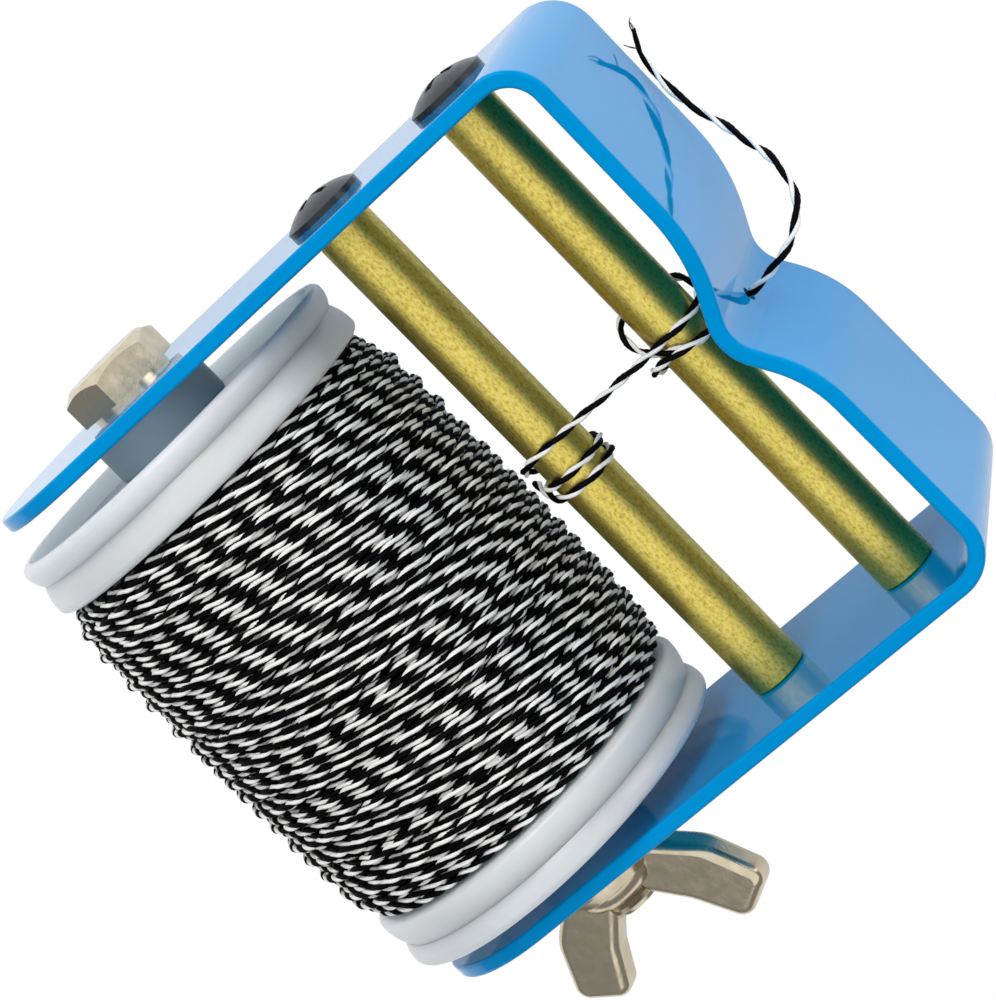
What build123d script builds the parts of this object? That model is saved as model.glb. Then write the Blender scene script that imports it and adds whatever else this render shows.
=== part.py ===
"""Serving jig for bow strings: a painted U-shaped frame that carries a spool of
serving thread, two guide rods that the thread is wound round to brake it, and a
V-shaped dip with a thread hole that runs along the string.

Frame of the part: origin on the spool's axis, midway between the frame's legs.
+X runs along the clamp bolt from its head to the wing nut, +Y along the legs to
the bridge, +Z across the strip. Millimetres.
"""

import math
import os

from build123d import *

os.makedirs("parts", exist_ok=True)

# Frame: one bent strip
INNER_WIDTH = 60.0
STRIP_THICKNESS = 1.6
STRIP_WIDTH = 28.0
LEG_END_Y = -18.0
LEG_END_RADIUS = 14.0
LEFT_SHOULDER_Y = 53.95
RIGHT_SHOULDER_Y = 54.5
NOTCH_LEFT = (-7.9, 53.95)
NOTCH_BOTTOM = (0.37, 49.82)
NOTCH_RIGHT = (7.1, 54.03)
LEFT_CORNER_RADIUS = 4.7
NOTCH_LEFT_RADIUS = 20.0
NOTCH_BOTTOM_RADIUS = 3.9
NOTCH_RIGHT_RADIUS = 14.0
RIGHT_CORNER_RADIUS = 5.0
EDGE_RADIUS = 0.35
THREAD_HOLE_RADIUS = 0.75
THREAD_HOLE_X = 0.4
THREAD_HOLE_Z = 0.5

INNER_FACE_X = INNER_WIDTH / 2
OUTER_FACE_X = INNER_FACE_X + STRIP_THICKNESS

# Guide rods and their screws
ROD_RADIUS = 3.0
ROD_CHAMFER = 0.25
INNER_ROD_Y = 26.7
OUTER_ROD_Y = 43.05
SCREW_RADIUS = 2.0
SCREW_LENGTH = 8.0
SCREW_HOLE_RADIUS = 2.15
TAPPED_RADIUS = 2.02
TAPPED_DEPTH = 8.5
SCREW_HEAD_RADIUS = 4.15
SCREW_HEAD_RIM = 0.6
SCREW_HEAD_HEIGHT = 1.9
RECESS_LENGTH = 4.3
RECESS_WIDTH = 0.9
RECESS_DEPTH = 1.2

# Clamp bolt, M6
BOLT_RADIUS = 3.0
BOLT_LENGTH = 70.1
BOLT_HOLE_RADIUS = 3.25
HEX_ACROSS_FLATS = 10.0
HEX_HEIGHT = 3.6
HEX_TURN = -26.0
HEX_FACE_RADIUS = 4.6
HEX_FACE_HEIGHT = 0.5
HEX_CORNER_DROP = 1.0
BOLT_TIP_CHAMFER = 0.6

# Wing nut and its washer
WASHER_RADIUS = 6.0
WASHER_THICKNESS = 1.2
NUT_BORE_RADIUS = 3.05
NUT_BASE_RADIUS = 6.1
NUT_TOP_RADIUS = 4.3
NUT_TOP_X = 36.8
WING_THICKNESS = 3.4
WING_ROUND = 1.0
WING_TURN = 13.5

# Bushings between the legs and the spool
BUSHING_RADIUS = 6.7
BUSHING_BORE_RADIUS = 3.05
SPIGOT_RADIUS = 4.95
SPIGOT_LENGTH = 4.0
BUSHING_ROUND = 1.0

# Spool
SPOOL_LEFT_X = -27.0
SPOOL_RIGHT_X = 27.4
SPOOL_BORE_RADIUS = 5.0
CORE_RADIUS = 9.0
RIM_RADIUS = 19.65
GROOVE_RADIUS = 19.0
CAP_THICKNESS = 2.6
DISC_THICKNESS = 3.35
CAP_RECESS_RADIUS = 18.3
CAP_RECESS_DEPTH = 1.9
RIM_ROUND = 0.8
END_GAP = 0.05

# Thread
THREAD_RADIUS = 0.4
PACK_CLEARANCE = 0.02
PACK_RADIUS = 20.55


def write(part, name):
    """Saves one piece as a STEP file under its node name."""
    part.label = name
    export_step(part, f"parts/{name}.step")
    print(f"{name}: volume {part.volume:.1f} mm3")


def along_x(radius, start, end, y=0.0, z=0.0):
    """A cylinder along X from start to end."""
    disc = Plane(origin=(start, y, z), z_dir=(1, 0, 0)) * Circle(radius)
    return extrude(disc, amount=end - start)


def turned(points):
    """A solid of revolution about the X axis from (x, radius) points."""
    return revolve(make_face(Polyline(*points, close=True)), axis=Axis.X)


def offset_corners(corners, distance):
    """Moves an open run of straight lines sideways by distance and returns its corners."""
    lines = []
    for (x0, y0), (x1, y1) in zip(corners, corners[1:]):
        length = math.hypot(x1 - x0, y1 - y0)
        nx = (y1 - y0) / length * distance
        ny = -(x1 - x0) / length * distance
        lines.append(((x0 + nx, y0 + ny), (x1 + nx, y1 + ny)))
    moved = [lines[0][0]]
    for (a, b), (c, d) in zip(lines, lines[1:]):
        abx, aby = b[0] - a[0], b[1] - a[1]
        cdx, cdy = d[0] - c[0], d[1] - c[1]
        t = ((c[0] - a[0]) * cdy - (c[1] - a[1]) * cdx) / (abx * cdy - aby * cdx)
        moved.append((a[0] + t * abx, a[1] + t * aby))
    moved.append(lines[-1][1])
    return moved


# ---- Frame -----------------------------------------------------------------

outer_corners = [
    (-OUTER_FACE_X, LEG_END_Y),
    (-OUTER_FACE_X, LEFT_SHOULDER_Y),
    NOTCH_LEFT,
    NOTCH_BOTTOM,
    NOTCH_RIGHT,
    (OUTER_FACE_X, RIGHT_SHOULDER_Y),
    (OUTER_FACE_X, LEG_END_Y),
]
outer_radii = [
    LEFT_CORNER_RADIUS,
    NOTCH_LEFT_RADIUS,
    NOTCH_BOTTOM_RADIUS,
    NOTCH_RIGHT_RADIUS,
    RIGHT_CORNER_RADIUS,
]
# The dip bends the other way, so its inside radius grows with the thickness.
inner_radii = [radius - STRIP_THICKNESS for radius in outer_radii]
inner_radii[2] = NOTCH_BOTTOM_RADIUS + STRIP_THICKNESS
inner_corners = offset_corners(outer_corners, STRIP_THICKNESS)

outer_line = FilletPolyline(*outer_corners, radius=outer_radii)
inner_line = FilletPolyline(*inner_corners, radius=inner_radii)
left_end = Line(outer_corners[0], inner_corners[0])
right_end = Line(inner_corners[-1], outer_corners[-1])
strip_face = make_face([*outer_line.edges(), right_end, *inner_line.edges(), left_end])
strip = extrude(Pos(0, 0, -STRIP_WIDTH / 2) * strip_face, amount=STRIP_WIDTH)

# Both leg ends are rounded over the full width of the strip.
end_centre_y = LEG_END_Y + LEG_END_RADIUS
side_outline = Plane.YZ * (
    Pos((end_centre_y + 60) / 2, 0) * Rectangle(60 - end_centre_y, STRIP_WIDTH)
    + Pos(end_centre_y, 0) * Circle(LEG_END_RADIUS)
)
side_block = extrude(side_outline, amount=40, both=True)
frame = strip & side_block

# Rounding the long edges also rounds the leg ends, which run on from them.
long_edges = []
for edge in frame.edges():
    on_top = abs(edge.center().Z - STRIP_WIDTH / 2) < 0.01
    on_bottom = abs(edge.center().Z + STRIP_WIDTH / 2) < 0.01
    if (on_top or on_bottom) and edge.length > STRIP_THICKNESS + 0.05:
        long_edges.append(edge)
frame = fillet(long_edges, EDGE_RADIUS)

frame -= along_x(BOLT_HOLE_RADIUS, -40, 40)
for rod_y in (INNER_ROD_Y, OUTER_ROD_Y):
    frame -= along_x(SCREW_HOLE_RADIUS, -40, 40, y=rod_y)
thread_hole = Plane(origin=(THREAD_HOLE_X, 46, THREAD_HOLE_Z), z_dir=(0, 1, 0))
frame -= extrude(thread_hole * Circle(THREAD_HOLE_RADIUS), amount=10)
write(frame, "frame")

# ---- Guide rods and screws ---------------------------------------------------


def guide_rod(rod_y):
    """A solid rod tapped at both ends, standing between the legs."""
    rod = along_x(ROD_RADIUS, -INNER_FACE_X, INNER_FACE_X, y=rod_y)
    ends = rod.edges().filter_by(GeomType.CIRCLE)
    rod = chamfer(ends, ROD_CHAMFER)
    rod -= along_x(TAPPED_RADIUS, -INNER_FACE_X, -INNER_FACE_X + TAPPED_DEPTH, y=rod_y)
    rod -= along_x(TAPPED_RADIUS, INNER_FACE_X - TAPPED_DEPTH, INNER_FACE_X, y=rod_y)
    return rod


def rod_screw(rod_y, side, cross_turn):
    """A low domed screw with a cross recess, head outside the leg on side -1 or 1."""
    edge = OUTER_FACE_X + SCREW_HEAD_RIM
    top = OUTER_FACE_X + SCREW_HEAD_HEIGHT
    centre = (OUTER_FACE_X, 0)
    rim_foot = (OUTER_FACE_X, SCREW_HEAD_RADIUS)
    rim_top = (edge, SCREW_HEAD_RADIUS)
    dome = TangentArc((top, 0), rim_top, tangent=(0, 1))
    flats = Polyline(rim_top, rim_foot, centre, (top, 0))
    screw = revolve(make_face([dome, *flats.edges()]), axis=Axis.X)
    screw += along_x(SCREW_RADIUS, OUTER_FACE_X - SCREW_LENGTH - STRIP_THICKNESS, OUTER_FACE_X)
    for turn in (0, 90):
        slot = Pos(top, 0, 0) * Box(2 * RECESS_DEPTH, RECESS_LENGTH, RECESS_WIDTH)
        screw -= Rot(turn + cross_turn, 0, 0) * slot
    if side < 0:
        screw = mirror(screw, about=Plane.YZ)
    return Pos(0, rod_y, 0) * screw


write(guide_rod(INNER_ROD_Y), "inner_guide_rod")
write(guide_rod(OUTER_ROD_Y), "outer_guide_rod")
write(rod_screw(INNER_ROD_Y, -1, 35), "inner_rod_left_screw")
write(rod_screw(OUTER_ROD_Y, -1, 20), "outer_rod_left_screw")
write(rod_screw(INNER_ROD_Y, 1, 10), "inner_rod_right_screw")
write(rod_screw(OUTER_ROD_Y, 1, 60), "outer_rod_right_screw")

# ---- Clamp bolt --------------------------------------------------------------

hex_radius = HEX_ACROSS_FLATS / math.sqrt(3)
head_base = -OUTER_FACE_X - HEX_FACE_HEIGHT
head_top = head_base - HEX_HEIGHT
hex_plane = Plane(origin=(head_base, 0, 0), x_dir=(0, 1, 0), z_dir=(-1, 0, 0))
hex_outline = hex_plane * RegularPolygon(hex_radius, 6, rotation=HEX_TURN)
hex_head = extrude(hex_outline, amount=HEX_HEIGHT)
# The corners are turned off to a cone that leaves a flat disc on top.
corner_cut = turned(
    [
        (head_base, 0),
        (head_base, hex_radius + 0.1),
        (head_top + HEX_CORNER_DROP, hex_radius + 0.1),
        (head_top, HEX_ACROSS_FLATS / 2 - 0.6),
        (head_top, 0),
    ]
)
hex_head = hex_head & corner_cut
hex_head += along_x(HEX_FACE_RADIUS, head_base - 0.1, -OUTER_FACE_X)
bolt_end = BOLT_LENGTH - OUTER_FACE_X
shank = turned(
    [
        (-OUTER_FACE_X - 0.5, 0),
        (-OUTER_FACE_X - 0.5, BOLT_RADIUS),
        (bolt_end - BOLT_TIP_CHAMFER, BOLT_RADIUS),
        (bolt_end, BOLT_RADIUS - BOLT_TIP_CHAMFER),
        (bolt_end, 0),
    ]
)
write(hex_head + shank, "clamp_bolt")

# ---- Wing nut and washer -------------------------------------------------------

nut_base = OUTER_FACE_X + WASHER_THICKNESS
washer = along_x(WASHER_RADIUS, OUTER_FACE_X + 0.02, nut_base)
washer -= along_x(BOLT_HOLE_RADIUS - 0.05, OUTER_FACE_X, nut_base)
write(washer, "nut_washer")

# The hub tapers to a rounded shoulder round the bolt.
shoulder_x = NUT_TOP_X - 1.6
shoulder_radius = NUT_TOP_RADIUS + 0.55
hub_top = TangentArc((NUT_TOP_X, NUT_BORE_RADIUS), (shoulder_x, shoulder_radius), tangent=(0, 1))
hub_side = Polyline(
    (shoulder_x, shoulder_radius),
    (nut_base + 1.2, NUT_BASE_RADIUS),
    (nut_base + 0.32, NUT_BASE_RADIUS),
    (nut_base + 0.02, NUT_BASE_RADIUS - 0.3),
    (nut_base + 0.02, NUT_BORE_RADIUS),
    (NUT_TOP_X, NUT_BORE_RADIUS),
)
hub = revolve(make_face([hub_top, *hub_side.edges()]), axis=Axis.X)
wing_corners = [
    (33.4, 1.5),
    (33.6, 6.0),
    (37.2, 10.6),
    (43.4, 13.7),
    (46.2, 8.5),
    (41.3, 5.3),
    (37.4, 1.5),
]
wing_line = FilletPolyline(*wing_corners, radius=[3.0, 5.0, 1.6, 1.6, 6.0])
wing_close = Line(wing_corners[-1], wing_corners[0])
wing_face = make_face([*wing_line.edges(), wing_close])
wing = extrude(wing_face, amount=WING_THICKNESS / 2, both=True)
flat_edges = [edge for edge in wing.edges() if abs(abs(edge.center().Z) - WING_THICKNESS / 2) < 0.01]
wing = fillet(flat_edges, WING_ROUND)
opposite = Rot(180, 0, 0) * wing
wing_nut = hub + wing + opposite
wing_nut -= along_x(NUT_BORE_RADIUS, OUTER_FACE_X, 50)
wing_nut = Rot(WING_TURN, 0, 0) * wing_nut
write(wing_nut, "wing_nut")

# ---- Bushings ------------------------------------------------------------------


def bushing(leg_x, spool_x):
    """A stepped bushing: shoulder against the leg, spigot in the spool's bore."""
    inward = 1 if spool_x > leg_x else -1
    seat = spool_x + inward * CAP_RECESS_DEPTH - inward * END_GAP
    tip = seat + inward * SPIGOT_LENGTH
    outline = [
        (leg_x, BUSHING_BORE_RADIUS),
        (leg_x, BUSHING_RADIUS),
        (seat - inward * BUSHING_ROUND, BUSHING_RADIUS),
        (seat - inward * 0.3 * BUSHING_ROUND, BUSHING_RADIUS - 0.3 * BUSHING_ROUND),
        (seat, BUSHING_RADIUS - BUSHING_ROUND),
        (seat, SPIGOT_RADIUS),
        (tip - inward * 0.4, SPIGOT_RADIUS),
        (tip, SPIGOT_RADIUS - 0.4),
        (tip, BUSHING_BORE_RADIUS),
    ]
    return turned(outline)


write(bushing(-INNER_FACE_X, SPOOL_LEFT_X), "left_bushing")
write(bushing(INNER_FACE_X, SPOOL_RIGHT_X), "right_bushing")

# ---- Spool: core with two discs, and an end cap on each disc ----------------------


def rim_line(x_face, x_groove):
    """The rim's rounded edge and its crown falling away to the groove, as two arcs."""
    inward = 1 if x_groove > x_face else -1
    side = (x_face, RIM_RADIUS - RIM_ROUND)
    crest = (x_face + inward * RIM_ROUND, RIM_RADIUS)
    edge = TangentArc(side, crest, tangent=(0, 1))
    crown = TangentArc(crest, (x_groove, GROOVE_RADIUS), tangent=(inward, 0))
    return [edge, crown]


left_seam = SPOOL_LEFT_X + CAP_THICKNESS
right_seam = SPOOL_RIGHT_X - CAP_THICKNESS
left_wall = left_seam + DISC_THICKNESS
right_wall = right_seam - DISC_THICKNESS
cap_floor = CAP_THICKNESS - CAP_RECESS_DEPTH
rim_side = RIM_RADIUS - RIM_ROUND

barrel = Polyline(
    (left_wall, rim_side), (left_wall, CORE_RADIUS), (right_wall, CORE_RADIUS), (right_wall, rim_side)
)
bore = Polyline(
    (left_seam, GROOVE_RADIUS),
    (left_seam, SPOOL_BORE_RADIUS),
    (right_seam, SPOOL_BORE_RADIUS),
    (right_seam, GROOVE_RADIUS),
)
rims = rim_line(left_wall, left_seam) + rim_line(right_wall, right_seam)
spool_outline = make_face([*barrel.edges(), *rims, *bore.edges()])
write(revolve(spool_outline, axis=Axis.X), "spool_core")


def end_cap(face_x, seam_x):
    """A dished disc: thin rim outside, floor against the spool's own disc."""
    floor_x = seam_x - cap_floor if seam_x > face_x else seam_x + cap_floor
    inside = Polyline(
        (seam_x, GROOVE_RADIUS),
        (seam_x, SPOOL_BORE_RADIUS),
        (floor_x, SPOOL_BORE_RADIUS),
        (floor_x, CAP_RECESS_RADIUS),
        (face_x, CAP_RECESS_RADIUS + 0.15),
        (face_x, rim_side),
    )
    outline = make_face([*rim_line(face_x, seam_x), *inside.edges()])
    return revolve(outline, axis=Axis.X)


write(end_cap(SPOOL_LEFT_X, left_seam), "left_end_cap")
write(end_cap(SPOOL_RIGHT_X, right_seam), "right_end_cap")

# ---- Wound thread: barrel shape, low against the discs -----------------------------

pack_left = left_wall + PACK_CLEARANCE
pack_right = right_wall - PACK_CLEARANCE
pack_outline = [
    (pack_left, CORE_RADIUS + PACK_CLEARANCE),
    (pack_left, PACK_RADIUS - 1.9),
    (pack_left + 0.6, PACK_RADIUS - 1.2),
    (pack_left + 1.8, PACK_RADIUS - 0.6),
    (pack_left + 5.0, PACK_RADIUS - 0.2),
    (pack_left + 11.0, PACK_RADIUS),
    (pack_right - 11.0, PACK_RADIUS),
    (pack_right - 5.0, PACK_RADIUS - 0.2),
    (pack_right - 1.8, PACK_RADIUS - 0.6),
    (pack_right - 0.6, PACK_RADIUS - 1.2),
    (pack_right, PACK_RADIUS - 1.9),
    (pack_right, CORE_RADIUS + PACK_CLEARANCE),
]
write(turned(pack_outline), "thread_pack")

# ---- Working thread: from the pack, round both rods, out through the bridge --------


def round_rod(rod_y, corners):
    """Route corners round a rod from (degrees from +Y towards +Z, distance, x)."""
    points = []
    for degrees, distance, x in corners:
        angle = math.radians(degrees)
        y = rod_y + distance * math.cos(angle)
        z = distance * math.sin(angle)
        points.append((x, y, z))
    return points


def thread_tube(points, name):
    """A round thread along straight runs joined by the largest arcs that fit."""
    radii = []
    for a, b, c in zip(points, points[1:], points[2:]):
        first = Vector(*b) - Vector(*a)
        second = Vector(*c) - Vector(*b)
        turn = math.radians(first.get_angle(second))
        radii.append(0.45 * min(first.length, second.length) / math.tan(turn / 2))
    line = FilletPolyline(*points, radius=radii)
    start = Plane(origin=line @ 0, z_dir=line % 0)
    tube = sweep(start * Circle(THREAD_RADIUS), path=line)
    expected = math.pi * THREAD_RADIUS**2 * line.length
    print(f"{name}: length {line.length:.1f} mm, radii", [round(r, 1) for r in radii])
    print(f"{name}: volume {tube.volume:.3f} against {expected:.3f}")
    write(tube, name)


inner_turns = round_rod(
    INNER_ROD_Y,
    [
        (158, 3.80, 2.9),
        (112, 3.73, 3.1),
        (67, 3.73, 3.2),
        (22, 3.73, 3.2),
        (-23, 3.73, 2.9),
        (-68, 3.73, 2.5),
        (-113, 3.73, 2.0),
        (-158, 3.73, 1.7),
        (-203, 3.73, 1.55),
        (-248, 3.73, 1.5),
        (-293, 3.73, 1.55),
        (-338, 3.73, 1.6),
        (-383, 3.73, 1.4),
        (-428, 3.73, 1.0),
        (-473, 3.73, 0.5),
        (-518, 3.95, 0.0),
        (-557, 4.15, -0.9),
        (-585, 3.95, -1.55),
        (-612, 3.73, -1.75),
    ],
)
outer_turns = round_rod(
    OUTER_ROD_Y,
    [
        (68, 3.73, -2.0),
        (22, 3.80, -2.15),
        (-17, 4.30, -3.2),
        (-50, 4.05, -4.9),
        (-90, 3.80, -5.6),
        (-133, 3.75, -5.75),
        (-172, 4.05, -5.35),
        (-192, 4.25, -3.9),
        (-207, 4.00, -2.4),
        (-230, 3.65, -1.5),
        (-262, 3.58, -0.6),
        (-298, 3.70, 0.2),
        (-338, 3.73, 0.7),
        (-383, 3.73, 1.0),
        (-428, 3.73, 1.1),
        (-473, 3.73, 1.05),
        (-515, 3.90, 0.85),
        (-548, 4.40, 0.3),
        (-573, 4.45, -0.35),
        (-602, 4.50, -0.65),
        (-640, 4.50, -0.3),
        (-664, 4.30, 0.1),
    ],
)
start_at_pack = [(1.2, 21.4, -3.2)]
through_hole = [
    (THREAD_HOLE_X, 48.3, THREAD_HOLE_Z + 0.3),
    (THREAD_HOLE_X, 50.7, THREAD_HOLE_Z),
]
thread_tube(start_at_pack + inner_turns + outer_turns + through_hole, "working_thread")

# ---- Free end of the thread, standing off the bridge and drooping at its tip -------

free_end = [
    (THREAD_HOLE_X, 50.7, THREAD_HOLE_Z),
    (0.35, 52.4, 0.6),
    (-0.35, 54.9, 1.85),
    (-0.8, 56.9, 1.1),
    (-2.3, 59.0, -0.1),
    (-4.4, 60.0, -1.9),
    (-7.0, 59.7, -3.8),
    (-9.6, 58.5, -6.1),
    (-12.3, 57.1, -8.7),
    (-15.1, 55.7, -10.7),
    (-17.8, 55.0, -12.0),
    (-20.1, 55.1, -12.9),
    (-22.0, 55.5, -13.1),
    (-23.4, 56.2, -13.1),
]
thread_tube(free_end, "thread_free_end")
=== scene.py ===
"""Serving jig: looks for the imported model. Metres, in the part's own frame:
+X along the clamp bolt to the wing nut, +Y along the legs to the bridge, +Z up."""

import math
import random

import bpy
import numpy as np
from mathutils import Matrix, Vector


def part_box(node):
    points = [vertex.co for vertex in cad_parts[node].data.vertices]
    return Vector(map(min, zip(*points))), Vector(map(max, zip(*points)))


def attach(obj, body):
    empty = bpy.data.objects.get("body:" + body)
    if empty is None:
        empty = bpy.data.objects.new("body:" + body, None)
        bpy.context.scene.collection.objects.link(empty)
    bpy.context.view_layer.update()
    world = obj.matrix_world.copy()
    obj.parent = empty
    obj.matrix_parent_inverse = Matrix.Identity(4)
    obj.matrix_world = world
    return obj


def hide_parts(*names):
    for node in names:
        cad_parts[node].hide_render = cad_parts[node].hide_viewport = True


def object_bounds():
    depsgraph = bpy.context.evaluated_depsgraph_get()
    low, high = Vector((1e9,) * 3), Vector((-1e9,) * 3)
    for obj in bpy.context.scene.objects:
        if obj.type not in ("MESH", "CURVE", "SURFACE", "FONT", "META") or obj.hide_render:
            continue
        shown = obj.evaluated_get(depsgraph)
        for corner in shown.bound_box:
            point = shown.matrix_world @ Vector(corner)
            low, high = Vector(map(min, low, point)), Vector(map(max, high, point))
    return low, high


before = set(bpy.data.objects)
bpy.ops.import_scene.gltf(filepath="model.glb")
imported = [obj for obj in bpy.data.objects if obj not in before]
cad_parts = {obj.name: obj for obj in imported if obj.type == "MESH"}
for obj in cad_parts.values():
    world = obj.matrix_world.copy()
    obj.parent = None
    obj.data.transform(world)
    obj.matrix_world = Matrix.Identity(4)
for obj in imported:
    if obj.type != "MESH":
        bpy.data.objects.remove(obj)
cad_low, cad_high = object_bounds()
scene = bpy.context.scene
MM = 0.001


# ---- Camera ------------------------------------------------------------------------

# Solved for the photograph's 996 x 1000 frame: the lens in mm, the camera's place and
# the directions of its right side and its back.
SENSOR_WIDTH = 36.0
FOCAL_LENGTH = 125.46
CAMERA_PLACE = (-0.05011, 0.13467, 0.30266)
CAMERA_RIGHT = (0.69452, 0.70247, -0.15550)
CAMERA_BACK = (-0.15120, 0.35381, 0.92302)

camera_data = bpy.data.cameras.new("camera")
camera_data.sensor_fit = "HORIZONTAL"
camera_data.sensor_width = SENSOR_WIDTH
camera_data.lens = FOCAL_LENGTH
camera = bpy.data.objects.new("camera", camera_data)
scene.collection.objects.link(camera)
scene.camera = camera
right = Vector(CAMERA_RIGHT).normalized()
back = Vector(CAMERA_BACK).normalized()
up = back.cross(right).normalized()
right = up.cross(back)
turn = Matrix((right, up, back)).transposed().to_4x4()
camera.matrix_world = Matrix.Translation(CAMERA_PLACE) @ turn


# ---- Materials ---------------------------------------------------------------------

COLOUR_SOCKETS = ("Base Color", "Specular Tint")


def material(name, settings):
    """A Principled material; settings are set on the shader's own sockets."""
    made = bpy.data.materials.new(name)
    made.use_nodes = True
    shader = made.node_tree.nodes["Principled BSDF"]
    for socket, value in settings.items():
        if socket in COLOUR_SOCKETS:
            value = (*value, 1.0)
        shader.inputs[socket].default_value = value
    return made


def noise(made, scale, detail=2.0, stretch=(1, 1, 1), roughness=0.5):
    """The value socket of a noise texture in its piece's own coordinates."""
    nodes, links = made.node_tree.nodes, made.node_tree.links
    place = nodes.new("ShaderNodeTexCoord")
    mapping = nodes.new("ShaderNodeMapping")
    mapping.inputs["Scale"].default_value = stretch
    texture = nodes.new("ShaderNodeTexNoise")
    texture.inputs["Scale"].default_value = scale
    texture.inputs["Detail"].default_value = detail
    texture.inputs["Roughness"].default_value = roughness
    links.new(place.outputs["Object"], mapping.inputs["Vector"])
    links.new(mapping.outputs["Vector"], texture.inputs["Vector"])
    return texture.outputs["Fac"]


def between(made, value, low, high, from_low=0.3, from_high=0.7):
    """Maps a value socket from one range to low..high."""
    mapper = made.node_tree.nodes.new("ShaderNodeMapRange")
    mapper.inputs["From Min"].default_value = from_low
    mapper.inputs["From Max"].default_value = from_high
    mapper.inputs["To Min"].default_value = low
    mapper.inputs["To Max"].default_value = high
    made.node_tree.links.new(value, mapper.inputs["Value"])
    return mapper.outputs["Result"]


def ramp(made, value, stops):
    """Colours by value: stops are (position, (r, g, b))."""
    node = made.node_tree.nodes.new("ShaderNodeValToRGB")
    while len(node.color_ramp.elements) < len(stops):
        node.color_ramp.elements.new(0.5)
    for element, (position, colour) in zip(node.color_ramp.elements, stops):
        element.position = position
        element.color = (*colour, 1.0)
    made.node_tree.links.new(value, node.inputs["Fac"])
    return node.outputs["Color"]


def calculate(made, operation, first, second):
    """A Math node's result; second is a value socket or a number."""
    node = made.node_tree.nodes.new("ShaderNodeMath")
    node.operation = operation
    made.node_tree.links.new(first, node.inputs[0])
    if isinstance(second, float):
        node.inputs[1].default_value = second
    else:
        made.node_tree.links.new(second, node.inputs[1])
    return node.outputs["Value"]


def drive(made, socket, value):
    """Connects a value or colour to a socket of the material's shader."""
    shader = made.node_tree.nodes["Principled BSDF"]
    made.node_tree.links.new(value, shader.inputs[socket])


def bump(made, heights):
    """Adds bump layers: (value socket, height in metres)."""
    nodes, links = made.node_tree.nodes, made.node_tree.links
    normal = None
    for value, height in heights:
        node = nodes.new("ShaderNodeBump")
        node.inputs["Strength"].default_value = 1.0
        node.inputs["Distance"].default_value = height
        links.new(value, node.inputs["Height"])
        if normal:
            links.new(normal, node.inputs["Normal"])
        normal = node.outputs["Normal"]
    drive(made, "Normal", normal)


blue_paint = material(
    "blue_paint",
    {"Roughness": 0.045, "IOR": 1.42, "Specular Tint": (0.0, 0.6, 0.9)},
)
blues = [(0.3, (0.0, 0.255, 0.60)), (0.7, (0.0, 0.28, 0.65))]
drive(blue_paint, "Base Color", ramp(blue_paint, noise(blue_paint, 60, 2), blues))
bump(blue_paint, [(noise(blue_paint, 500, 1), 3e-6)])

brass = material("brass", {"Metallic": 1.0})
mottle = noise(brass, 3600, 5, (0.6, 1, 1), 0.75)
golds = [(0.34, (0.42, 0.31, 0.05)), (0.5, (0.72, 0.57, 0.125)), (0.7, (0.84, 0.70, 0.21))]
drive(brass, "Base Color", ramp(brass, mottle, golds))
drive(brass, "Roughness", between(brass, mottle, 0.42, 0.27))
bump(brass, [(mottle, 3e-5), (noise(brass, 300, 2, (0.05, 1, 1)), 2e-5)])

black_steel = material("black_steel", {"Base Color": (0.016, 0.017, 0.019), "IOR": 1.5})
drive(black_steel, "Roughness", between(black_steel, noise(black_steel, 1500, 3), 0.2, 0.36))
bump(black_steel, [(noise(black_steel, 2500, 2), 1e-5)])


def nickel_plate(name):
    """Warm, slightly cloudy plating, and the bump layer of its grain."""
    made = material(name, {"Metallic": 1.0})
    cloud = noise(made, 700, 4)
    warm_greys = [(0.3, (0.61, 0.51, 0.35)), (0.7, (0.69, 0.60, 0.43))]
    drive(made, "Base Color", ramp(made, cloud, warm_greys))
    drive(made, "Roughness", between(made, cloud, 0.3, 0.16))
    return made, (noise(made, 1800, 3), 1.2e-5)


nickel, nickel_grain = nickel_plate("nickel")
bump(nickel, [nickel_grain])

# The bolt's thread: ridges BOLT_PITCH apart along +X, none on the head.
BOLT_PITCH = 1 * MM
RIDGE_HEIGHT = 5e-4
bolt_nickel, bolt_grain = nickel_plate("bolt_nickel")
bolt_nodes, bolt_links = bolt_nickel.node_tree.nodes, bolt_nickel.node_tree.links
bolt_place = bolt_nodes.new("ShaderNodeTexCoord")
bolt_axes = bolt_nodes.new("ShaderNodeSeparateXYZ")
bolt_links.new(bolt_place.outputs["Object"], bolt_axes.inputs["Vector"])
ridge = calculate(bolt_nickel, "PINGPONG", bolt_axes.outputs["X"], 0.5 * BOLT_PITCH)
ridge = between(bolt_nickel, ridge, 0.0, 1.0, 0.0, 0.5 * BOLT_PITCH)
on_shank = between(bolt_nickel, bolt_axes.outputs["X"], 0.0, 1.0, 0.0, BOLT_PITCH)
shank_ridges = calculate(bolt_nickel, "MULTIPLY", ridge, on_shank)
bump(bolt_nickel, [bolt_grain, (shank_ridges, RIDGE_HEIGHT)])

milky_plastic = material(
    "milky_plastic",
    {
        "Base Color": (0.72, 0.78, 0.77),
        "Roughness": 0.28,
        "IOR": 1.5,
        "Subsurface Weight": 0.85,
        "Subsurface Radius": (0.006, 0.007, 0.007),
        "Subsurface Scale": 1.0,
    },
)
bump(milky_plastic, [(noise(milky_plastic, 500, 2), 8e-6)])

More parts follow.
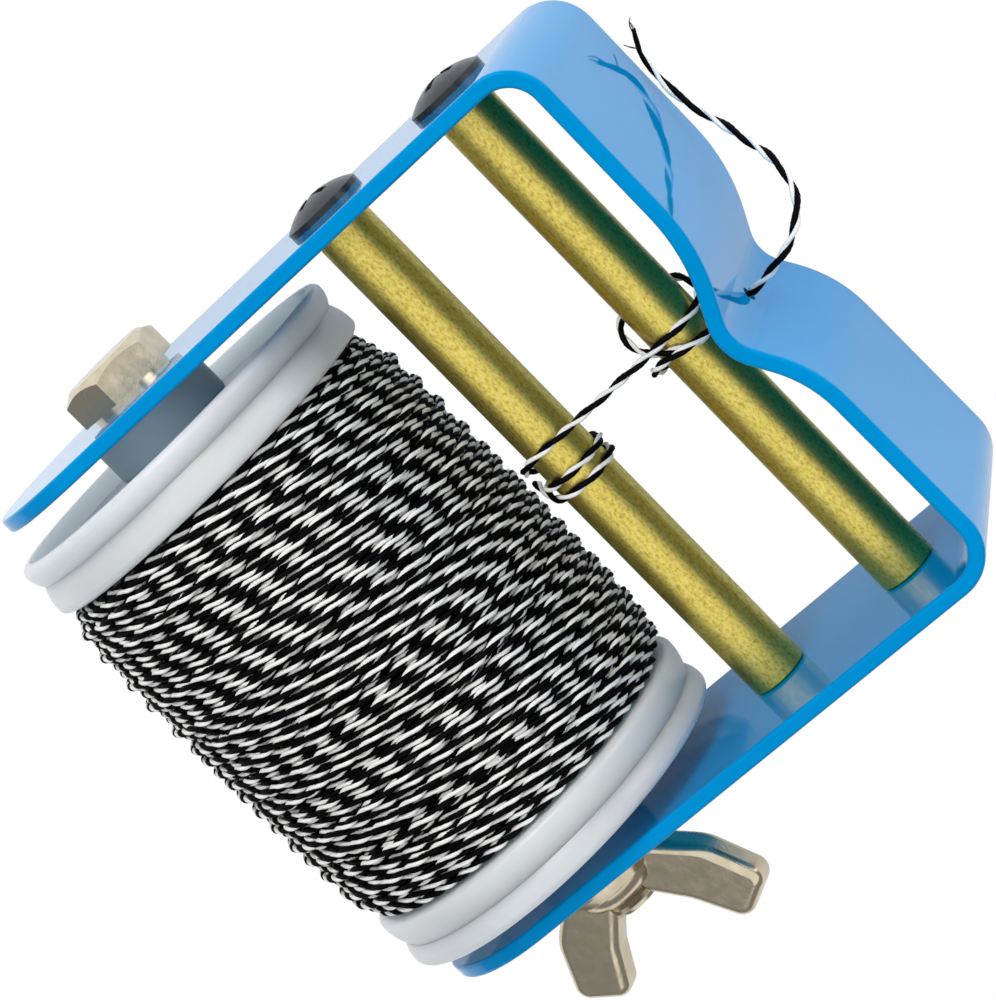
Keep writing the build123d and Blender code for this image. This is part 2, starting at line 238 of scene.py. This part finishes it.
grey_plastic = material("grey_plastic", {"Base Color": (0.46, 0.57, 0.60), "IOR": 1.48})
drive(grey_plastic, "Roughness", between(grey_plastic, noise(grey_plastic, 900, 3), 0.42, 0.55))
bump(grey_plastic, [(noise(grey_plastic, 2200, 2), 1e-5)])

black_ply = material(
    "black_ply",
    {"Base Color": (0.0012, 0.0012, 0.0015), "Roughness": 0.55, "Specular IOR Level": 0.06},
)
white_ply = material(
    "white_ply",
    {"Base Color": (0.90, 0.89, 0.85), "Roughness": 0.6, "Specular IOR Level": 0.3},
)
for ply in (black_ply, white_ply):
    bump(ply, [(noise(ply, 6000, 2), 2e-5)])

# The lower turns under the top ones: black plies, and white plies greyed down as painted shade in the
# gaps between turns.
shaded_under_thread = material("shaded_under_thread", {"Roughness": 0.8, "Specular IOR Level": 0.1})
streaks = noise(shaded_under_thread, 900, 2, (1.6, 0.6, 0.6))
shaded_ply_greys = [(0.56, (0.002, 0.002, 0.003)), (0.64, (0.20, 0.20, 0.19))]
drive(shaded_under_thread, "Base Color", ramp(shaded_under_thread, streaks, shaded_ply_greys))
bump(shaded_under_thread, [(noise(shaded_under_thread, 1500, 2), 2e-4)])

FINISHES = [
    (blue_paint, ["frame"]),
    (brass, ["inner_guide_rod", "outer_guide_rod"]),
    (black_steel, ["inner_rod_left_screw", "outer_rod_left_screw"]),
    (black_steel, ["inner_rod_right_screw", "outer_rod_right_screw"]),
    (bolt_nickel, ["clamp_bolt"]),
    (nickel, ["nut_washer", "wing_nut"]),
    (grey_plastic, ["left_bushing", "right_bushing"]),
    (milky_plastic, ["spool_core", "left_end_cap", "right_end_cap"]),
]
for finish, names in FINISHES:
    for name in names:
        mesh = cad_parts[name].data
        mesh.materials.clear()
        mesh.materials.append(finish)

# Edges broken a little, by widths in mm.
EDGE_WIDTHS = {"clamp_bolt": 0.12, "nut_washer": 0.1, "left_bushing": 0.2}
for name, width in EDGE_WIDTHS.items():
    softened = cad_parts[name].modifiers.new("softened_edges", "BEVEL")
    softened.width = width * MM
    softened.segments = 3
    softened.limit_method = "ANGLE"
    softened.angle_limit = math.radians(25)
    softened.harden_normals = True


# ---- Two-ply thread ----------------------------------------------------------------

# Each ply's radius and its centre's place across the thread, in mm: black, then white.
PLIES = [(0.29, 0.15), (0.215, -0.215)]
LOBE_POINTS = 6
ROUTE_STEP = 0.3 * MM
WORKING_PITCH = 4.9 * MM
FIBRE_STEP = 0.15 * MM
FIBRE_PITCH = 3.0 * MM
FIBRE_WHITE = 0.05


def section():
    """Outline of two touching plies: (along, across) points, first the black lobe."""
    (black, black_at), (white, white_at) = PLIES
    apart = black_at - white_at
    waist = (apart**2 + black**2 - white**2) / (2 * apart)
    points = []
    for side, radius, place, to_waist in (
        (1, black, black_at, waist),
        (-1, white, -white_at, apart - waist),
    ):
        open_angle = math.acos(-to_waist / radius)
        for step in range(LOBE_POINTS):
            angle = -open_angle + 2 * open_angle * step / LOBE_POINTS
            along = place + radius * math.cos(angle)
            across = radius * math.sin(angle)
            points.append((side * along * MM, side * across * MM))
    return np.array(points)


def smooth_line(points, name):
    """A NURBS line through a route of control points in mm, as an array of points."""
    curve = bpy.data.curves.new(name, "CURVE")
    curve.dimensions = "3D"
    curve.resolution_u = 24
    spline = curve.splines.new("NURBS")
    spline.points.add(len(points) - 1)
    for place, point in zip(spline.points, points):
        place.co = (*[c * MM for c in point], 1.0)
    spline.order_u = 3
    spline.use_endpoint_u = True
    holder = bpy.data.objects.new(name, curve)
    mesh = bpy.data.meshes.new_from_object(holder)
    line = np.array([v.co for v in mesh.vertices])
    bpy.data.objects.remove(holder)
    bpy.data.curves.remove(curve)
    bpy.data.meshes.remove(mesh)
    return line


def unit(vectors):
    """The same vectors at length 1."""
    return vectors / np.linalg.norm(vectors, axis=1)[:, None]


def distances(line):
    """Distance along the line at each of its points."""
    return np.r_[0, np.cumsum(np.linalg.norm(np.diff(line, axis=0), axis=1))]


def even(line, step):
    """The same line with points a step apart."""
    lengths = distances(line)
    count = max(int(round(lengths[-1] / step)), 2)
    at = np.linspace(0, lengths[-1], count + 1)
    return np.stack([np.interp(at, lengths, line[:, i]) for i in range(3)], axis=1)


def carried_normals(line):
    """Normals carried along the line without twisting; the first is nearest +Z."""
    normals = np.empty_like(line)
    normal = np.array((0.0, 0.0, 1.0))
    for i, direction in enumerate(unit(np.gradient(line, axis=0))):
        normal = normal - normal.dot(direction) * direction
        normal /= np.linalg.norm(normal)
        normals[i] = normal
    return normals


def steady_twist(line, pitch, phase=0.0):
    """Angle of the plies at each point, for one full turn in every pitch."""
    return phase + 2 * math.pi * distances(line) / pitch


def tube(name, rings):
    """A closed mesh round rings of points, with the black and the white lobe's faces."""
    count, size = rings.shape[:2]
    mesh = bpy.data.meshes.new(name)
    starts = np.arange(count - 1)[:, None] * size
    first = (starts + np.arange(size)[None]).ravel()
    turned = (starts + (np.arange(size)[None] + 1) % size).ravel()
    quads = np.stack([first, turned, turned + size, first + size], axis=1)
    caps = np.array([np.arange(size)[::-1], np.arange(size) + (count - 1) * size])
    faces = len(quads) + len(caps)
    mesh.vertices.add(count * size)
    mesh.vertices.foreach_set("co", rings.reshape(-1).astype(np.float32))
    mesh.loops.add(quads.size + caps.size)
    corners = np.r_[quads.ravel(), caps.ravel()]
    mesh.loops.foreach_set("vertex_index", corners.astype(np.int32))
    mesh.polygons.add(faces)
    loop_starts = np.r_[np.arange(len(quads)) * 4, quads.size, quads.size + size]
    mesh.polygons.foreach_set("loop_start", loop_starts.astype(np.int32))
    lobe = np.tile((np.arange(size) >= LOBE_POINTS).astype(np.int32), count - 1)
    mesh.polygons.foreach_set("material_index", np.r_[lobe, 0, 0].astype(np.int32))
    mesh.polygons.foreach_set("use_smooth", np.ones(faces, bool))
    mesh.update(calc_edges=True)
    mesh.validate()
    mesh.materials.append(black_ply)
    mesh.materials.append(white_ply)
    return mesh


def twisted(name, line, across, angle, body, scale=1.0, white=1.0):
    """A two-ply thread along line. across is each point's reference normal, and angle
    turns the plies from it; scale thins the whole thread and white its white ply."""
    along = unit(np.gradient(line, axis=0))
    across = unit(across - (across * along).sum(1)[:, None] * along)
    third = np.cross(along, across)
    outline = section()
    thin = np.ones((len(line), len(outline))) * np.reshape(scale, (-1, 1))
    thin[:, LOBE_POINTS:] *= np.reshape(white, (-1, 1))
    cos, sin = np.cos(angle)[:, None], np.sin(angle)[:, None]
    a = (outline[:, 0] * cos - outline[:, 1] * sin) * thin
    b = (outline[:, 0] * sin + outline[:, 1] * cos) * thin
    rings = line[:, None] + a[..., None] * across[:, None] + b[..., None] * third[:, None]
    thread = bpy.data.objects.new(name, tube(name, rings))
    scene.collection.objects.link(thread)
    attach(thread, body)
    return thread


# Free end: leaves the thread hole, arches over and droops.
free_points = [
    (0.4, 50.7, 0.5),
    (0.35, 52.4, 0.6),
    (-0.35, 54.9, 1.85),
    (-0.8, 56.9, 1.1),
    (-2.3, 59.0, -0.1),
    (-4.4, 60.0, -1.9),
    (-7.0, 59.7, -3.8),
    (-9.6, 58.5, -6.1),
    (-12.3, 57.1, -8.7),
    (-15.1, 55.7, -10.7),
    (-17.8, 55.0, -12.0),
    (-20.1, 55.1, -12.9),
    (-22.0, 55.5, -13.1),
    (-23.4, 56.2, -13.1),
]
free_line = even(smooth_line(free_points, "free_route"), ROUTE_STEP)
# The twist, its pitch in mm, opens towards the cut end, where only the black ply goes on.
free_at = np.linspace(0, 1, len(free_line))
free_step = np.linalg.norm(free_line[1] - free_line[0]) / MM
free_pitch = np.interp(free_at, [0, 0.5, 0.8, 1], [5.0, 5.6, 7.5, 9.0])
free_end = twisted(
    "thread_loose_end",
    free_line,
    carried_normals(free_line),
    0.5 + np.cumsum(2 * math.pi * free_step / free_pitch),
    "frame_assembly",
    scale=np.interp(free_at, [0, 0.9, 0.95, 1], [1.08, 1.08, 0.95, 0.75]),
    white=np.interp(free_at, [0, 0.86, 0.93, 1], [1, 1, 0.15, 0.05]),
)
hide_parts("thread_free_end")

# Loose fibres of the black ply, frayed out of the cut end: route and thickness.
frayed = [
    ([(-22.6, 55.8, -13.1), (-23.5, 56.5, -13.0), (-24.1, 56.6, -12.6)], 0.5),
    ([(-22.8, 55.9, -13.1), (-23.9, 56.1, -13.2), (-24.3, 56.7, -13.4)], 0.35),
    ([(-21.6, 55.4, -13.1), (-22.3, 54.9, -13.0), (-22.9, 54.6, -12.8)], 0.35),
]
for number, (points, thickness) in enumerate(frayed, 1):
    fibre_line = even(smooth_line(points, "fibre_route"), FIBRE_STEP)
    fibre_at = np.linspace(0, 1, len(fibre_line))
    twisted(
        f"thread_frayed_fibre_{number}",
        fibre_line,
        carried_normals(fibre_line),
        steady_twist(fibre_line, FIBRE_PITCH, number),
        "frame_assembly",
        scale=thickness * np.interp(fibre_at, [0, 0.6, 1], [1.0, 0.8, 0.4]),
        white=FIBRE_WHITE,
    )


# Working run: from the winding round both rods and on to the thread hole. ON_ROD is the
# route's distance from a rod's centre, in mm, where the thread lies on the rod.
ON_ROD = 3.73


def round_rod(centre_y, corners):
    """Control points round a rod from (degrees from +Y towards +Z, distance, x)."""
    points = []
    for degrees, distance, x in corners:
        angle = math.radians(degrees)
        y, z = distance * math.cos(angle), distance * math.sin(angle)
        points.append((x, centre_y + y, z))
    return points


inner_rod_low, inner_rod_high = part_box("inner_guide_rod")
outer_rod_low, outer_rod_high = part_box("outer_guide_rod")
inner_rod_y = (inner_rod_low.y + inner_rod_high.y) / 2 / MM
outer_rod_y = (outer_rod_low.y + outer_rod_high.y) / 2 / MM
working_points = [(1.2, 21.4, -3.2)]
working_points += round_rod(
    inner_rod_y,
    [
        (158, 3.80, 2.9),
        (112, ON_ROD, 3.1),
        (67, ON_ROD, 3.2),
        (22, ON_ROD, 3.2),
        (-23, ON_ROD, 2.9),
        (-68, ON_ROD, 2.5),
        (-113, ON_ROD, 2.0),
        (-158, ON_ROD, 1.7),
        (-203, ON_ROD, 1.55),
        (-248, ON_ROD, 1.5),
        (-293, ON_ROD, 1.55),
        (-338, ON_ROD, 1.6),
        (-383, ON_ROD, 1.4),
        (-428, ON_ROD, 1.0),
        (-473, ON_ROD, 0.5),
        (-518, 3.95, 0.0),
        (-557, 4.15, -0.9),
        (-585, 3.95, -1.55),
        (-612, ON_ROD, -1.75),
    ],
)
working_points += round_rod(
    outer_rod_y,
    [
        (68, ON_ROD, -2.0),
        (22, 3.80, -2.15),
        (-17, 4.30, -3.2),
        (-50, 4.05, -4.9),
        (-90, 3.80, -5.6),
        (-133, 3.75, -5.75),
        (-172, 4.05, -5.35),
        (-192, 4.25, -3.9),
        (-207, 4.00, -2.4),
        (-230, 3.65, -1.5),
        (-262, 3.58, -0.6),
        (-298, 3.70, 0.2),
        (-338, ON_ROD, 0.7),
        (-383, ON_ROD, 1.0),
        (-428, ON_ROD, 1.1),
        (-473, ON_ROD, 1.05),
        (-515, 3.90, 0.85),
        (-548, 4.40, 0.3),
        (-573, 4.45, -0.35),
        (-602, 4.50, -0.65),
        (-640, 4.50, -0.3),
        (-664, 4.30, 0.1),
    ],
)
working_points += [(0.4, 48.3, 0.8), (0.4, 50.7, 0.5)]
working_line = even(smooth_line(working_points, "working_route"), ROUTE_STEP)
working = twisted(
    "thread_working_run",
    working_line,
    carried_normals(working_line),
    steady_twist(working_line, WORKING_PITCH),
    "frame_assembly",
)
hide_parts("working_thread")


# ---- Wound thread ------------------------------------------------------------------

# One full twist of the plies, and the distance between points along the thread.
PACK_PITCH = 3.95 * MM
PACK_STEP = PACK_PITCH / 11
# In mm: from a flange to the nearest centreline; from the outside down to the top
# turns' centreline, its least and the mean of all turns; how much deeper the lower
# turns lie; and the bed's depth and its gap at the flanges.
WALL_GAP = 0.45
THREAD_BELOW = 0.43
LEAST_BELOW = 0.40
MEAN_BELOW = 0.5
INNER_DEPTH = 1.05
OUTER_DEPTH = 0.5
BED_DEPTH = 1.5
BED_GAP = 0.1
BED_RINGS = 120
BED_SIDES = 240
# How far the outside drops, in mm, at these distances from the nearer flange.
FLANGE_DISTANCE = [0, 0.6, 1.8, 5, 11]
OUTSIDE_DROP = [1.9, 1.2, 0.6, 0.2, 0.0]
# Points between bends in a turn's x, in its height and in its twist, and the slip of
# the twist in radians.
X_REACH, HEIGHT_REACH, TWIST_REACH = 90, 60, 40
TWIST_SLIP = 0.5

pack_low, pack_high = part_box("thread_pack")
left_wall, right_wall = pack_low.x, pack_high.x
pack_radius = pack_high.z
rng = random.Random(7)


def pack_outline(x):
    """Outside radius of the wound thread at x."""
    side = np.minimum(x - left_wall, right_wall - x) / MM
    drop = np.interp(side, FLANGE_DISTANCE, OUTSIDE_DROP)
    return pack_radius - drop * MM


def wander(count, reach, size):
    """A smooth random run: count points, with bends about reach points apart."""
    knots = max(int(count / reach) + 4, 6)
    values = np.array([rng.gauss(0, size) for _ in range(knots)])
    at = np.linspace(0, knots - 1.001, count)
    i = at.astype(int)
    t = at - i
    t = t * t * (3 - 2 * t)
    return values[i] * (1 - t) + values[np.minimum(i + 1, knots - 1)] * t


def wound_layer(name, stops, depth, spread, height):
    """Turns whose x follows stops of (turn, x in mm), at a depth below the outside;
    spread and height are the sizes of their wandering along x and outwards, in mm."""
    turns = stops[-1][0]
    around = 2 * math.pi * (pack_radius - MEAN_BELOW * MM)
    count = int(turns * around / PACK_STEP)
    turn = np.linspace(0, turns, count)
    x = np.interp(turn, [s[0] for s in stops], [s[1] * MM for s in stops])
    x = x + wander(count, X_REACH, spread * MM)
    x = np.clip(x, left_wall + WALL_GAP * MM, right_wall - WALL_GAP * MM)
    r = pack_outline(x) - THREAD_BELOW * MM - depth * MM
    r = r + wander(count, HEIGHT_REACH, height * MM)
    r = np.minimum(r, pack_radius - LEAST_BELOW * MM)
    angle = 2 * math.pi * turn
    out = np.stack([np.zeros(count), np.cos(angle), np.sin(angle)], axis=1)
    line = out * r[:, None]
    line[:, 0] = x
    slip = wander(count, TWIST_REACH, TWIST_SLIP)
    twist = 2 * math.pi * (np.arange(count) * PACK_STEP) / PACK_PITCH + slip
    return twisted(name, line, out, twist, "spool")


half = (right_wall - left_wall) / 2 / MM - WALL_GAP
middle = (right_wall + left_wall) / 2 / MM
run = 2 * half / 3
inner_stops = [middle - half, middle - half + run, middle + half - run, middle + half]
outer_right = [(0, middle + half), (9, middle + half - 9), (15, middle + half - 15), (21, middle)]
outer_left = [(0, middle), (6, middle - 7), (13, middle - 13), (21, middle - half)]
top = [(0, middle - half + 1), (5, middle - 4), (9, middle + 2), (17, middle + half - 1)]
wound = [
    wound_layer(f"wound_thread_inner_{side}", [(0, start), (17, stop)], INNER_DEPTH, 0.10, 0.03)
    for side, start, stop in zip(("left", "middle", "right"), inner_stops, inner_stops[1:])
]
wound_layer("wound_thread_outer_right", outer_right, OUTER_DEPTH, 0.16, 0.05)
wound_layer("wound_thread_outer_left", outer_left, OUTER_DEPTH, 0.16, 0.05)
wound_layer("wound_thread_top", top, 0.0, 0.3, 0.03)
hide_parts("thread_pack")


def turned_mesh(name, profile, sides, finish, body):
    """A smooth surface of revolution about the X axis from (x, radius) points."""
    angles = np.linspace(0, 2 * math.pi, sides, endpoint=False)
    points = [(x, r * math.cos(a), r * math.sin(a)) for x, r in profile for a in angles]
    quads = []
    for start in range(0, (len(profile) - 1) * sides, sides):
        for j in range(sides):
            k = (j + 1) % sides
            quads.append((start + j, start + k, start + sides + k, start + sides + j))
    mesh = bpy.data.meshes.new(name)
    mesh.from_pydata(points, [], quads)
    mesh.polygons.foreach_set("use_smooth", [True] * len(quads))
    mesh.materials.append(finish)
    piece = bpy.data.objects.new(name, mesh)
    scene.collection.objects.link(piece)
    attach(piece, body)
    return piece


# A dark bed under the turns. Its greyed colour is painted shade where the gaps between turns show
# through.
bed_x = np.linspace(left_wall + BED_GAP * MM, right_wall - BED_GAP * MM, BED_RINGS)
bed_r = pack_outline(bed_x) - BED_DEPTH * MM
bed_profile = list(zip(bed_x, bed_r))
bed = turned_mesh("wound_thread_core", bed_profile, BED_SIDES, shaded_under_thread, "spool")


# ---- Floor, light ------------------------------------------------------------------

FLOOR_HALF = 2.0
FLOOR_GAP = 0.0003
FLOOR_WHITE = (0.92, 0.92, 0.92, 1)
FLOOR_GLOW = 0.15

low, high, floor_z = -FLOOR_HALF, FLOOR_HALF, cad_low.z - FLOOR_GAP
floor_corners = [(low, low, floor_z), (high, low, floor_z), (high, high, floor_z), (low, high, floor_z)]
floor_mesh = bpy.data.meshes.new("floor")
floor_mesh.from_pydata(floor_corners, [], [(0, 1, 2, 3)])
floor = bpy.data.objects.new("floor", floor_mesh)
scene.collection.objects.link(floor)
# The camera sees the floor as plain white; everything else sees a pale, matt surface.
floor_paint = bpy.data.materials.new("floor")
floor_paint.use_nodes = True
nodes, links = floor_paint.node_tree.nodes, floor_paint.node_tree.links
floor_shader = nodes["Principled BSDF"]
floor_shader.inputs["Base Color"].default_value = FLOOR_WHITE
floor_shader.inputs["Roughness"].default_value = 0.9
floor_shader.inputs["Emission Color"].default_value = (1, 1, 1, 1)
floor_shader.inputs["Emission Strength"].default_value = FLOOR_GLOW
glow = nodes.new("ShaderNodeEmission")
glow.inputs["Strength"].default_value = 1.0
ray = nodes.new("ShaderNodeLightPath")
mix = nodes.new("ShaderNodeMixShader")
links.new(ray.outputs["Is Camera Ray"], mix.inputs["Fac"])
links.new(floor_shader.outputs["BSDF"], mix.inputs[1])
links.new(glow.outputs["Emission"], mix.inputs[2])
links.new(mix.outputs["Shader"], nodes["Material Output"].inputs["Surface"])
floor_mesh.materials.append(floor_paint)


# Square area lights: name, place, target, size and brightness.
LIGHTS = [
    ("overhead_light", (0.0, 0.05, 1.0), (0, 0.05, 0), 2.0, 0.8),
    ("key_light", (-0.8, 0.1, 0.6), (0, 0.02, 0), 0.5, 5.0),
    ("back_light", (-0.3, 0.9, 0.2), (0, 0.05, 0), 0.6, 2.2),
]
for name, place, target, size, radiance in LIGHTS:
    light = bpy.data.lights.new(name, "AREA")
    light.shape = "SQUARE"
    light.size = size
    light.energy = radiance * math.pi * size * size
    lamp = bpy.data.objects.new(name, light)
    lamp.location = place
    aim = Vector(target) - Vector(place)
    lamp.rotation_euler = aim.to_track_quat("-Z", "Y").to_euler()
    scene.collection.objects.link(lamp)

SKY_COLOUR = (0.85, 0.9, 1.0, 1)
SKY_STRENGTH = 0.3
world = bpy.data.worlds.new("studio")
scene.world = world
world.use_nodes = True
sky = world.node_tree.nodes["Background"]
sky.inputs["Color"].default_value = SKY_COLOUR
sky.inputs["Strength"].default_value = SKY_STRENGTH

scene.view_settings.view_transform = "Standard"
